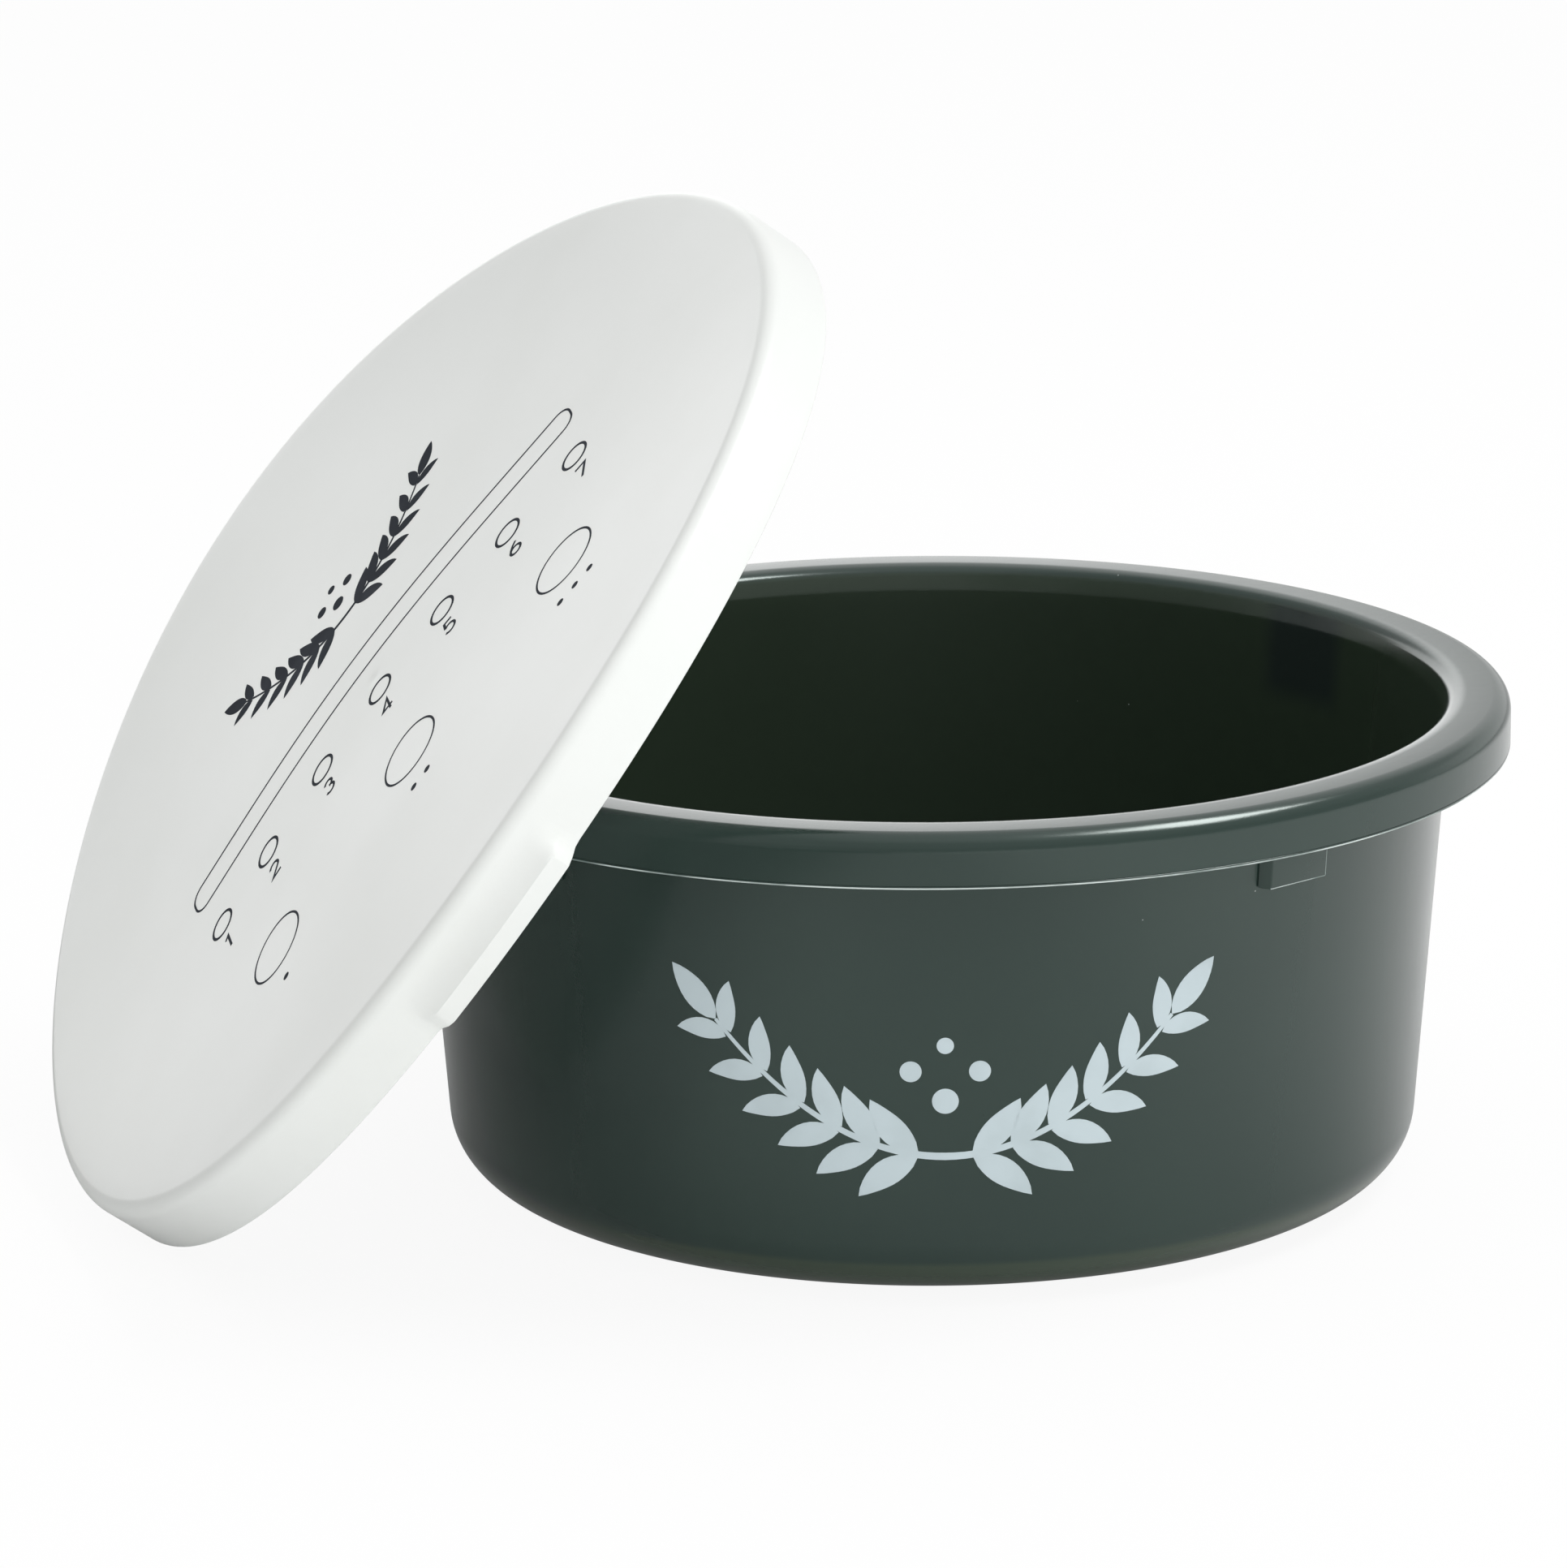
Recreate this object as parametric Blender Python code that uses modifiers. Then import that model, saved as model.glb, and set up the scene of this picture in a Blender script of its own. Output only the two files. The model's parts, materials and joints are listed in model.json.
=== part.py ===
"""Round feed bowl with a rolled rim, and its press-on lid leaning against it.

Two plastic mouldings. The bowl is a tapered tub whose rim turns over into a
hanging lip, with four blocks under the lip, and whose base stands on a round
panel a little below its corner. The lid is a thin plate with a skirt and one
flared finger tab; it has the slight saddle-shaped warp of a soft moulding,
and it stands on the floor with its plate against the rim.
Metres, +Z up. The bowl stands on z = 0 about the Z axis, its front at -Y.
"""
import math

import bmesh
import bpy
from mathutils import Matrix, Vector

# Driving dimensions of the bowl
BOWL_HEIGHT = 0.1325          # floor to the top of the rim
WALL_TOP_RADIUS = 0.1394      # outside of the wall, carried up to the rim's top
WALL_FOOT_RADIUS = 0.12925    # outside of the wall, carried down to the floor
RIM_OVERHANG = 0.0156         # from the top of the wall to the outside of the lip
BOWL_WALL = 0.0020
RIM_WALL = 0.0022             # the rim and its lip
LIP_DEPTH = 0.0140            # rim's top to the lip's free edge
RIM_CORNER_RADIUS = 0.0055    # outer corner between rim and lip
MOUTH_EDGE_RADIUS = 0.0045    # inner edge between wall and rim
RIM_ROOT_RADIUS = 0.0018      # fillet between wall and rim, underneath
FOOT_RADIUS = 0.0170          # outer fillet between wall and base
BASE_STEP = 0.0020            # how far the base's standing panel lies below its corner
BASE_MARGIN = 0.0300          # from the outside of the wall's foot in to that panel

# Blocks that stiffen the rim
LUG_COUNT = 4
LUG_FIRST_AZIMUTH = -48.0     # degrees from +X
LUG_WIDTH = 0.0196
LUG_DEPTH = 0.0040            # how far it stands out of the wall
LUG_HANG = 0.0265             # rim's top to the block's lower end

# Driving dimensions of the lid
LID_CLEARANCE = 0.0003        # between the lip and the skirt when closed
SKIRT_WALL = 0.0013
SKIRT_DEPTH = 0.0188          # plate's top to the skirt's free edge
LID_PLATE = 0.0025
LID_EDGE_RADIUS = 0.0040
BEAD_REACH = 0.0008           # how far the inner bead stands in from the skirt
BEAD_HEIGHT = 0.0016
LID_WARP = 0.0084             # rise of the edge along one diameter, fall along the other
LID_WARP_AZIMUTH = 85.4       # degrees, the diameter that rises, from the lid's uphill side

# Finger tab, a stretch of skirt that flares outwards
TAB_WIDTH = 0.0600
TAB_REACH = 0.0042            # how far its lip stands out of the skirt
TAB_LIP = 0.0052              # height of the lip's upright face
TAB_END = 0.0060              # length over which each end fades into the skirt
TAB_AZIMUTH = -100.5          # degrees from the lid's uphill side

# How the lid leans
LID_TILT = 54.0               # degrees from level
LID_HEADING = 18.75           # degrees, from -X towards the front
LID_SIDE_SHIFT = 0.0160       # of its centre, along the rim towards the back
REST_GAP = 0.0003             # left between the plate and the rim it rests on

# Smoothness
TURN_STEPS = 96
PLATE_RINGS = 6
SHARP_ANGLE = 35.0            # degrees
MERGE = 0.00001

BOWL_GREEN = (0.036, 0.056, 0.052, 1.0)
LID_WHITE = (0.80, 0.82, 0.81, 1.0)

# Derived sizes
WALL_LEAN = math.atan((WALL_TOP_RADIUS - WALL_FOOT_RADIUS) / BOWL_HEIGHT)
RIM_RADIUS = WALL_TOP_RADIUS + RIM_OVERHANG
PANEL_RADIUS = WALL_FOOT_RADIUS - BASE_MARGIN
LID_RADIUS = RIM_RADIUS + LID_CLEARANCE + SKIRT_WALL
SKIRT_INSIDE = LID_RADIUS - SKIRT_WALL


def clear_scene():
    """Remove whatever the file holds."""
    for thing in list(bpy.data.objects):
        bpy.data.objects.remove(thing, do_unlink=True)


def new_collection(name):
    group = bpy.data.collections.new(name)
    bpy.context.scene.collection.children.link(group)
    return group


def plastic(name, colour, roughness):
    """A plain moulded plastic."""
    finish = bpy.data.materials.new(name)
    finish.use_nodes = True
    shader = finish.node_tree.nodes["Principled BSDF"]
    shader.inputs["Base Color"].default_value = colour
    shader.inputs["Roughness"].default_value = roughness
    shader.inputs["Metallic"].default_value = 0.0
    finish.diffuse_color = colour
    return finish


def arc(centre, radius, start, end, count):
    """Points of an arc in the (radius, height) plane; angles in radians."""
    points = []
    for i in range(count + 1):
        angle = start + (end - start) * i / count
        points.append((centre[0] + radius * math.cos(angle), centre[1] + radius * math.sin(angle)))
    return points


def turned(name, profile, group):
    """Solid of revolution of a profile that starts and ends on the axis."""
    mesh = bpy.data.meshes.new(name)
    points = [(r, 0.0, z) for r, z in profile]
    mesh.from_pydata(points, [(i, i + 1) for i in range(len(points) - 1)], [])
    body = bpy.data.objects.new(name, mesh)
    group.objects.link(body)
    screw = body.modifiers.new("turn", "SCREW")
    screw.axis = "Z"
    screw.angle = math.radians(360.0)
    screw.steps = TURN_STEPS
    screw.render_steps = TURN_STEPS
    screw.use_merge_vertices = True
    screw.merge_threshold = MERGE
    screw.use_smooth_shade = True
    return body


def made_real(body):
    """Replace an object's mesh by its evaluated one, with the modifiers used up."""
    depsgraph = bpy.context.evaluated_depsgraph_get()
    finished = bpy.data.meshes.new_from_object(body.evaluated_get(depsgraph))
    finished.name = body.name
    body.modifiers.clear()
    body.data = finished
    return finished


def shade_round(mesh):
    mesh.shade_smooth()
    mesh.set_sharp_from_angle(angle=math.radians(SHARP_ANGLE))


def wall_radius(height):
    """Outside of the bowl's tapered wall."""
    return WALL_FOOT_RADIUS + height * math.tan(WALL_LEAN)


def beside_wall(height, offset):
    """Radius of a point at this height whose distance out from the wall's outside is offset."""
    return wall_radius(height) + offset / math.cos(WALL_LEAN)


def bowl_profile():
    """Section of the bowl: inner floor, inner wall, rim, lip, outer wall, base."""
    level, up, inward = 0.0, math.radians(90.0), math.radians(180.0)
    foot_height = BASE_STEP + FOOT_RADIUS
    foot_centre = (beside_wall(foot_height, -FOOT_RADIUS), foot_height)
    mouth_height = BOWL_HEIGHT - MOUTH_EDGE_RADIUS
    mouth_centre = (beside_wall(mouth_height, MOUTH_EDGE_RADIUS - BOWL_WALL), mouth_height)
    corner_centre = (RIM_RADIUS - RIM_CORNER_RADIUS, BOWL_HEIGHT - RIM_CORNER_RADIUS)
    lip_edge = RIM_WALL / 2
    lip_centre = (RIM_RADIUS - lip_edge, BOWL_HEIGHT - LIP_DEPTH + lip_edge)
    root_height = BOWL_HEIGHT - RIM_WALL - RIM_ROOT_RADIUS
    root_centre = (beside_wall(root_height, RIM_ROOT_RADIUS), root_height)

    points = [(0.0, BOWL_WALL), (PANEL_RADIUS - BOWL_WALL, BOWL_WALL)]
    points += [(PANEL_RADIUS - BOWL_WALL, BASE_STEP + BOWL_WALL)]
    points += arc(foot_centre, FOOT_RADIUS - BOWL_WALL, -up, -WALL_LEAN, 6)
    points += arc(mouth_centre, MOUTH_EDGE_RADIUS, inward - WALL_LEAN, up, 4)
    points += arc(corner_centre, RIM_CORNER_RADIUS, up, level, 5)
    points += arc(lip_centre, lip_edge, level, -inward, 4)
    points += arc(corner_centre, RIM_CORNER_RADIUS - RIM_WALL, level, up, 3)
    points += arc(root_centre, RIM_ROOT_RADIUS, up, inward - WALL_LEAN, 2)
    points += arc(foot_centre, FOOT_RADIUS, -WALL_LEAN, -up, 7)
    points += [(PANEL_RADIUS, BASE_STEP), (PANEL_RADIUS, 0.0), (0.0, 0.0)]
    return points


def lug_block(azimuth, group):
    """A block that leans with the wall, from half-way into the wall to its own face."""
    inner = -BOWL_WALL / 2
    foot = BOWL_HEIGHT - LUG_HANG
    top = BOWL_HEIGHT - RIM_WALL / 2
    size = Vector((LUG_DEPTH - inner, LUG_WIDTH, (top - foot) / math.cos(WALL_LEAN)))
    middle_height = (foot + top) / 2
    middle = Vector((beside_wall(middle_height, (LUG_DEPTH + inner) / 2), 0.0, middle_height))
    turn = Matrix.Rotation(azimuth, 4, "Z")
    lean = Matrix.Rotation(WALL_LEAN, 4, "Y")
    place = turn @ Matrix.Translation(middle) @ lean @ Matrix.Diagonal((*size, 1.0))

    mesh = bpy.data.meshes.new("lug_block")
    cube = bmesh.new()
    bmesh.ops.create_cube(cube, size=1.0, matrix=place)
    cube.to_mesh(mesh)
    cube.free()
    block = bpy.data.objects.new("lug_block", mesh)
    block.hide_render = True
    block.display_type = "WIRE"
    group.objects.link(block)
    return block


def build_bowl(parts, cutters):
    bowl = turned("bowl", bowl_profile(), parts)
    for i in range(LUG_COUNT):
        azimuth = math.radians(LUG_FIRST_AZIMUTH + 360.0 * i / LUG_COUNT)
        union = bowl.modifiers.new("lug", "BOOLEAN")
        union.operation = "UNION"
        union.solver = "EXACT"
        union.object = lug_block(azimuth, cutters)
    shade_round(made_real(bowl))
    bowl.data.materials.clear()
    bowl.data.materials.append(plastic("green_plastic", BOWL_GREEN, 0.28))
    return bowl


def warp_rise(x, y):
    """How far the saddle lifts a point of the lid along the lid's own axis."""
    azimuth = math.atan2(y, x) - math.radians(LID_WARP_AZIMUTH)
    return LID_WARP * (x * x + y * y) / LID_RADIUS ** 2 * math.cos(2.0 * azimuth)


def smooth_step(share):
    share = min(max(share, 0.0), 1.0)
    return share * share * (3.0 - 2.0 * share)


def tab_push(azimuth, depth):
    """How far the finger tab moves a point of the skirt outwards."""
    from_middle = abs(math.remainder(azimuth - math.radians(TAB_AZIMUTH), 2.0 * math.pi)) * LID_RADIUS
    along = smooth_step((TAB_WIDTH / 2 - from_middle) / TAB_END)
    cove = SKIRT_DEPTH - TAB_LIP - LID_EDGE_RADIUS
    down = min(max((depth - LID_EDGE_RADIUS) / cove, 0.0), 1.0)
    return TAB_REACH * along * down ** 2


def lid_profile():
    """Section of the lid, flat: top, edge, skirt, inner bead, underside. Its top is z = 0."""
    level, up = 0.0, math.radians(90.0)
    edge_centre = (LID_RADIUS - LID_EDGE_RADIUS, -LID_EDGE_RADIUS)
    crease = TAB_LIP - SKIRT_DEPTH
    cove_middle = (crease - LID_EDGE_RADIUS) / 2
    bead_top = SKIRT_WALL - SKIRT_DEPTH + BEAD_HEIGHT
    inner_corner = LID_EDGE_RADIUS - LID_PLATE
    rings = [LID_RADIUS * i / PLATE_RINGS for i in range(PLATE_RINGS)]

    points = [(r, 0.0) for r in rings]
    points += arc(edge_centre, LID_EDGE_RADIUS, up, level, 4)
    points += [(LID_RADIUS, cove_middle), (LID_RADIUS, crease)]
    points += [(LID_RADIUS, -SKIRT_DEPTH), (SKIRT_INSIDE, -SKIRT_DEPTH)]
    points += [(SKIRT_INSIDE - BEAD_REACH, bead_top - BEAD_HEIGHT / 2), (SKIRT_INSIDE, bead_top)]
    points += [(SKIRT_INSIDE, crease), (SKIRT_INSIDE, cove_middle)]
    points += arc((SKIRT_INSIDE - inner_corner, -LID_EDGE_RADIUS), inner_corner, level, up, 2)
    points += [(r, -LID_PLATE) for r in reversed(rings)]
    return points


def shape_lid(mesh):
    """Flare the finger tab and warp the whole moulding."""
    for vertex in mesh.vertices:
        x, y, z = vertex.co
        radius, azimuth = math.hypot(x, y), math.atan2(y, x)
        if radius > SKIRT_INSIDE - BEAD_REACH - MERGE:
            radius += tab_push(azimuth, -z)
        vertex.co = (radius * math.cos(azimuth), radius * math.sin(azimuth), z + warp_rise(x, y))


def rim_corner_points():
    """Points all round the rounded outer corner of the rim, where the lid leans."""
    centre = (RIM_RADIUS - RIM_CORNER_RADIUS, BOWL_HEIGHT - RIM_CORNER_RADIUS)
    section = arc(centre, RIM_CORNER_RADIUS, 0.0, math.radians(90.0), 12)
    points = []
    for i in range(4 * TURN_STEPS):
        azimuth = math.radians(360.0 * i / (4 * TURN_STEPS))
        points += [Vector((r * math.cos(azimuth), r * math.sin(azimuth), z)) for r, z in section]
    return points


def lean_gap(place, corner):
    """Least distance, along the lid's axis, from the plate's underside to the rim."""
    to_lid = place.inverted()
    gaps = []
    for point in corner:
        x, y, z = to_lid @ point
        if math.hypot(x, y) < SKIRT_INSIDE:
            gaps.append(warp_rise(x, y) - LID_PLATE - z)
    return min(gaps)


def lid_placement(mesh):
    """Stand the lid's skirt on the floor and lean its plate on the rim, by a few exact steps."""
    tilt, heading = math.radians(LID_TILT), math.radians(LID_HEADING)
    turn = Matrix.Rotation(heading, 4, "Z") @ Matrix.Rotation(-tilt, 4, "Y")
    foot = min((turn @ vertex.co).z for vertex in mesh.vertices)
    out = Vector((-math.cos(heading), -math.sin(heading), 0.0))
    side = Vector((-math.sin(heading), math.cos(heading), 0.0))
    corner = rim_corner_points()
    reach = RIM_RADIUS
    for _ in range(8):
        centre = out * reach + side * LID_SIDE_SHIFT + Vector((0.0, 0.0, -foot))
        place = Matrix.Translation(centre) @ turn
        reach += (REST_GAP - lean_gap(place, corner)) / math.sin(tilt)
    return place


def build_lid(parts):
    lid = turned("lid", lid_profile(), parts)
    mesh = made_real(lid)
    shape_lid(mesh)
    shade_round(mesh)
    mesh.materials.clear()
    mesh.materials.append(plastic("white_plastic", LID_WHITE, 0.40))
    lid.matrix_world = lid_placement(mesh)
    return lid


def main():
    clear_scene()
    parts = new_collection("feed_bowl")
    cutters = new_collection("cutters")
    build_bowl(parts, cutters)
    lid = build_lid(parts)
    bpy.context.view_layer.update()
    centre = lid.matrix_world.translation
    axis = lid.matrix_world.to_3x3() @ Vector((0.0, 0.0, 1.0))
    print("lid centre", [round(v, 5) for v in centre], "axis", [round(v, 5) for v in axis])


main()
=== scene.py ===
"""Looks of the round green feed bowl and the white lid that leans on it."""
import json
import math

import bmesh
import bpy
from mathutils import Matrix, Vector


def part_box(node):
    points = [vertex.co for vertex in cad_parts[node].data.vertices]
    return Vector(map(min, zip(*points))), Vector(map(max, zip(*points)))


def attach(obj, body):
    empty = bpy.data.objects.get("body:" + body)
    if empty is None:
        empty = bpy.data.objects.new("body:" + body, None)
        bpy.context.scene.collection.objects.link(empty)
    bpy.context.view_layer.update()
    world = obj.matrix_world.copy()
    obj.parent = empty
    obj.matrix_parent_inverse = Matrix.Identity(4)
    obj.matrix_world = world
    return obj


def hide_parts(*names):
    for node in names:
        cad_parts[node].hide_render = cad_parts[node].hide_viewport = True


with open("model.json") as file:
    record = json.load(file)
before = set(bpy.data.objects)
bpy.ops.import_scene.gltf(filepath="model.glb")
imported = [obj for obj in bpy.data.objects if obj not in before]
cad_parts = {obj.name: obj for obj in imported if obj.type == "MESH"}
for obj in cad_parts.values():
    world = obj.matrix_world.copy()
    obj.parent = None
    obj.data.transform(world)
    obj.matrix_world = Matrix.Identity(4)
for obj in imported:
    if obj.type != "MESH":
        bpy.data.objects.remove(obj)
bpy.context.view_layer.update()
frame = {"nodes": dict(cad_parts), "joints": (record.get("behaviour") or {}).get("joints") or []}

# Bowl, in metres; its height and its rim's radius come from the frame
WALL_TOP_RADIUS = 0.1394
WALL_FOOT_RADIUS = 0.12925
BOWL_WALL = 0.0020
RIM_WALL = 0.0022
LIP_DEPTH = 0.0140
RIM_CORNER_RADIUS = 0.0048
MOUTH_RADIUS = 0.1411         # of the centre of the mouth's rounded edge
MOUTH_EDGE_RADIUS = 0.0034
MOUTH_ROLL_RADIUS = 0.0130    # the rim's top rolls gently down to the mouth's edge
MOUTH_ROLL = math.radians(14.0)
FLARE_TURN = math.radians(14.0)     # slant of the narrow band inside the mouth
FLARE_ROOT_RADIUS = 0.0080
RIM_ROOT_RADIUS = 0.0030
FOOT_RADIUS = 0.0170
BASE_STEP = 0.0020
BASE_MARGIN = 0.0300
LIP_EDGE_RADIUS = 0.0005      # the lip's two free corners
LIP_LINE_HEIGHT = 0.0009      # a fine line left by the mould, above the lip's free edge
LIP_LINE_DEPTH = 0.00012
STEP_RADIUS = 0.0008          # corners of the base's standing panel

# The small blocks under the bowl's rim
LUG_COUNT = 4
LUG_FIRST_AZIMUTH = math.radians(-48.0)
LUG_WIDTH = 0.0196
LUG_DEPTH = 0.0030
LUG_ROOT = 0.0003             # how far a block reaches into the wall
LUG_SLANT = 0.0018            # how much wider a block is at the wall, on each side
LUG_HANG = 0.0265
LUG_EDGE_RADIUS = 0.0004
EDGE_TURN = 0.15              # least part of a unit normal that gives a face the painted edge highlight
FLANK_TURN = 0.55             # the same beside a slanted flank

# Lid, in metres, in its own frame: X uphill, Z out of the plate
LID_RADIUS = 0.1566
SKIRT_WALL = 0.0013
SKIRT_DEPTH = 0.0188
LID_PLATE = 0.0025
LID_EDGE_RADIUS = 0.0040
BEAD_REACH = 0.0008
BEAD_HEIGHT = 0.0016
LID_WARP = 0.0084
LID_WARP_AZIMUTH = math.radians(85.4)
PLATE_BULGE = (0.00108, -0.01331, 0.01119)   # even powers of the way across the warp
PLATE_SKEW = (0.00102, -0.00030)             # across and along the warp
GATE_RADIUS = 0.0030                         # the mark where the plastic was let in
GATE_DEPTH = 0.0003
SKIRT_EDGE_RADIUS = 0.0003

# The finger tab in the lid's skirt
TAB_WIDTH = 0.0600
TAB_REACH = 0.0042
TAB_LIP = 0.0052
TAB_END = 0.0060
TAB_AZIMUTH = math.radians(-100.5)

# Smoothness: steps of a whole turn, and of each rounded or bent part of a section
BOWL_STEPS = 288
LID_STEPS = 432
PLATE_RINGS = 36
GATE_RINGS = 4
PANEL_CUTS = 4
FOOT_CUTS, FOOT_INNER_CUTS = 20, 16
FLARE_CUTS = 5
MOUTH_CUTS = 8
ROLL_CUTS = 6
CORNER_CUTS, CORNER_INNER_CUTS = 14, 8
ROOT_CUTS = 6
THIN_EDGE_CUTS = 3            # of the lip's, the skirt's and the blocks' edges
LID_EDGE_CUTS, LID_INNER_CUTS = 12, 6
SKIRT_CUTS = 14
TAB_LIP_CUTS = 3
BEAD_CUTS = 8
SHARP_ANGLE = math.radians(32.0)
MERGE = 0.00001

QUARTER, HALF, FULL = math.radians(90.0), math.radians(180.0), math.radians(360.0)

bowl_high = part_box("bowl")[1]
BOWL_HEIGHT = bowl_high.z
RIM_RADIUS = bowl_high.x
WALL_LEAN = math.atan((WALL_TOP_RADIUS - WALL_FOOT_RADIUS) / BOWL_HEIGHT)
PANEL_RADIUS = WALL_FOOT_RADIUS - BASE_MARGIN
SKIRT_INSIDE = LID_RADIUS - SKIRT_WALL


def smooth_step(share):
    share = min(max(share, 0.0), 1.0)
    return share * share * (3.0 - 2.0 * share)


def arc(centre, radius, start, end, count):
    """Points of an arc in the (radius, height) plane."""
    points = []
    for i in range(count + 1):
        angle = start + (end - start) * i / count
        points.append((centre[0] + radius * math.cos(angle), centre[1] + radius * math.sin(angle)))
    return points


def turned_mesh(name, profile, steps):
    """Closed solid of revolution of a profile that starts and ends on the axis."""
    shape = bmesh.new()
    rings = []
    for radius, height in profile:
        if radius < MERGE:
            rings.append([shape.verts.new((0.0, 0.0, height))] * steps)
            continue
        ring = []
        for i in range(steps):
            angle = FULL * i / steps
            place = (radius * math.cos(angle), radius * math.sin(angle), height)
            ring.append(shape.verts.new(place))
        rings.append(ring)
    for upper, lower in zip(rings, rings[1:]):
        for i in range(steps):
            corners = [upper[i], lower[i], lower[(i + 1) % steps], upper[(i + 1) % steps]]
            shape.faces.new(list(dict.fromkeys(corners)))
    bmesh.ops.recalc_face_normals(shape, faces=shape.faces)
    return to_mesh(name, shape)


def to_mesh(name, shape):
    mesh = bpy.data.meshes.new(name)
    shape.to_mesh(mesh)
    shape.free()
    return mesh


def shade_round(mesh):
    mesh.shade_smooth()
    mesh.set_sharp_from_angle(angle=SHARP_ANGLE)


def add_object(name, data):
    thing = bpy.data.objects.new(name, data)
    bpy.context.scene.collection.objects.link(thing)
    return thing


def wall_radius(height):
    return WALL_FOOT_RADIUS + height * math.tan(WALL_LEAN)


def beside_wall(height, offset):
    return wall_radius(height) + offset / math.cos(WALL_LEAN)


def line_points(start, end, count):
    """Points between two others, without them."""
    points = []
    for i in range(1, count):
        share = i / count
        points.append(tuple(a + (b - a) * share for a, b in zip(start, end)))
    return points


def flare_root_height(mouth_centre):
    """Height at which the slanted band leaves the inner wall to meet the mouth's edge smoothly."""
    out, up = -math.cos(FLARE_TURN), math.sin(FLARE_TURN)
    reach = mouth_centre[0] - beside_wall(0.0, FLARE_ROOT_RADIUS - BOWL_WALL)
    gain = reach * out + mouth_centre[1] * up + MOUTH_EDGE_RADIUS - FLARE_ROOT_RADIUS
    return gain / (math.tan(WALL_LEAN) * out + up)


def inner_profile(mouth_centre, roll_centre, foot_centre):
    """The bowl's inside, from the middle of its floor to the top of the rim's roll."""
    flare_height = flare_root_height(mouth_centre)
    flare_centre = (beside_wall(flare_height, FLARE_ROOT_RADIUS - BOWL_WALL), flare_height)
    step, low, high = STEP_RADIUS, BOWL_WALL, BASE_STEP + BOWL_WALL
    radius = PANEL_RADIUS - BOWL_WALL

    points = [(0.0, low)]
    points += arc((radius - step, low + step), step, -QUARTER, 0.0, PANEL_CUTS)
    points += arc((radius + step, high - step), step, HALF, QUARTER, PANEL_CUTS)
    points += arc(foot_centre, FOOT_RADIUS - BOWL_WALL, -QUARTER, -WALL_LEAN, FOOT_INNER_CUTS)
    points += arc(flare_centre, FLARE_ROOT_RADIUS, HALF - WALL_LEAN, HALF - FLARE_TURN, FLARE_CUTS)
    points += arc(mouth_centre, MOUTH_EDGE_RADIUS, HALF - FLARE_TURN, QUARTER + MOUTH_ROLL,
                  MOUTH_CUTS)
    points += arc(roll_centre, MOUTH_ROLL_RADIUS, QUARTER + MOUTH_ROLL, QUARTER, ROLL_CUTS)[1:]
    return points


def lip_profile(corner_centre):
    """The rim's outer corner and the lip, down its outside and up its inside."""
    foot = BOWL_HEIGHT - LIP_DEPTH
    line, edge = foot + LIP_LINE_HEIGHT, LIP_EDGE_RADIUS

    points = arc(corner_centre, RIM_CORNER_RADIUS, QUARTER, 0.0, CORNER_CUTS)
    points += [(RIM_RADIUS, line + LIP_LINE_DEPTH), (RIM_RADIUS - LIP_LINE_DEPTH, line)]
    points += [(RIM_RADIUS, line - LIP_LINE_DEPTH)]
    points += arc((RIM_RADIUS - edge, foot + edge), edge, 0.0, -QUARTER, THIN_EDGE_CUTS)
    points += arc((RIM_RADIUS - RIM_WALL + edge, foot + edge), edge, -QUARTER, -HALF,
                  THIN_EDGE_CUTS)
    points += arc(corner_centre, RIM_CORNER_RADIUS - RIM_WALL, 0.0, QUARTER, CORNER_INNER_CUTS)
    return points


def outer_profile(foot_centre):
    """The root under the rim, the outer wall, and the base with its standing panel."""
    root_height = BOWL_HEIGHT - RIM_WALL - RIM_ROOT_RADIUS
    root_centre = (beside_wall(root_height, RIM_ROOT_RADIUS), root_height)
    step = STEP_RADIUS

    points = arc(root_centre, RIM_ROOT_RADIUS, QUARTER, HALF - WALL_LEAN, ROOT_CUTS)
    points += arc(foot_centre, FOOT_RADIUS, -WALL_LEAN, -QUARTER, FOOT_CUTS)
    points += arc((PANEL_RADIUS + step, BASE_STEP - step), step, QUARTER, HALF, PANEL_CUTS)
    points += arc((PANEL_RADIUS - step, step), step, 0.0, -QUARTER, PANEL_CUTS)
    points += [(0.0, 0.0)]
    return points


def bowl_profile():
    """Section of the bowl: inner floor, inner wall, rim, lip, outer wall, base."""
    foot_height = BASE_STEP + FOOT_RADIUS
    foot_centre = (beside_wall(foot_height, -FOOT_RADIUS), foot_height)
    roll_height = BOWL_HEIGHT - MOUTH_ROLL_RADIUS
    between = MOUTH_ROLL_RADIUS - MOUTH_EDGE_RADIUS
    mouth_centre = (MOUTH_RADIUS, roll_height + between * math.cos(MOUTH_ROLL))
    roll_centre = (mouth_centre[0] + between * math.sin(MOUTH_ROLL), roll_height)
    corner_centre = (RIM_RADIUS - RIM_CORNER_RADIUS, BOWL_HEIGHT - RIM_CORNER_RADIUS)
    points = inner_profile(mouth_centre, roll_centre, foot_centre)
    return points + lip_profile(corner_centre) + outer_profile(foot_centre)


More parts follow.
